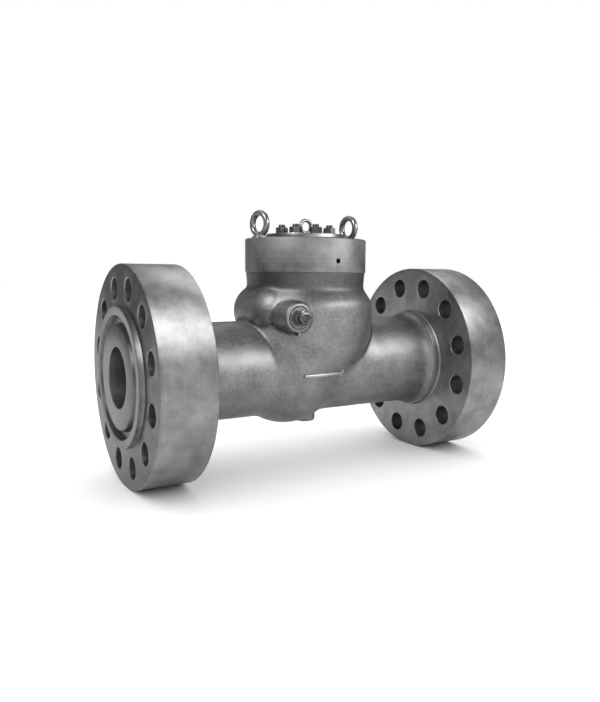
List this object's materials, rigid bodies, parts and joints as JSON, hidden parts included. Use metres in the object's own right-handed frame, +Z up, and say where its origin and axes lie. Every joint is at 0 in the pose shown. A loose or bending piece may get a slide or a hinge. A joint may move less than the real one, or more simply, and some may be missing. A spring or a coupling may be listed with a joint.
{
  "type": "swing non-return valve",
  "caption": "Swing check valve with ring-joint flanges, a pressure-seal bonnet with lifting eyes, and a hinged disc that the flow opens and gravity closes.",
  "frame": {"origin": "centre of the inlet's raised face, on the pipe axis", "axes": "+X along the pipe axis with the flow, from inlet to outlet; +Z up the bonnet's axis; the hinge pin's plug faces -Y"},
  "size_m": [1.2922, 0.673, 0.853],
  "materials": {
    "cast_body": "shot-blasted cast stainless steel, fine rough skin",
    "forged_flange": "machined forged stainless steel, satin",
    "turned_steel": "turned steel, satin",
    "hard_trim": "ground hard-faced trim, fine satin",
    "cast_arm": "blasted steel casting",
    "soft_ring": "soft iron, matt",
    "bronze": "aluminium bronze, turned",
    "dark_fasteners": "oiled alloy steel, dark",
    "plated_eyes": "forged, zinc plated, semi bright"
  },
  "bodies": {
    "valve_body": {"body_casting": "cast_body", "body_lifting_eyes": "plated_eyes", "bonnet": "turned_steel", "bonnet_nuts": "dark_fasteners", "bonnet_studs": "dark_fasteners", "cover_eye_bolt": "plated_eyes", "cover_retainer_plate": "turned_steel", "hinge_pin": "hard_trim", "inlet_flange": "forged_flange", "outlet_flange": "forged_flange", "pin_plug": "turned_steel", "pin_spacers": "turned_steel", "plug_centre_screw": "turned_steel", "plug_gasket": "soft_ring", "pressure_seal_gasket": "soft_ring", "seat_ring": "hard_trim", "spacer_ring": "turned_steel", "thrust_ring_segments": "turned_steel"},
    "arm": {"hinge_arm": "cast_arm", "arm_bushes": "bronze", "arm_eye_bush": "bronze"},
    "disc": {"disc": "hard_trim", "disc_washer": "turned_steel", "disc_nut": "turned_steel", "disc_split_pin": "turned_steel"}
  },
  "joints": [
    {"name": "arm_swing", "type": "hinge", "parent": "valve_body", "child": "arm", "pos_m": [0.4961, 0, 0.178], "axis": [0, -1, 0], "range_deg": [0, 65]},
    {"name": "disc_spin", "type": "hinge", "parent": "arm", "child": "disc", "pos_m": [0.5181, 0, 0], "axis": [1, 0, 0], "continuous": true}
  ]
}
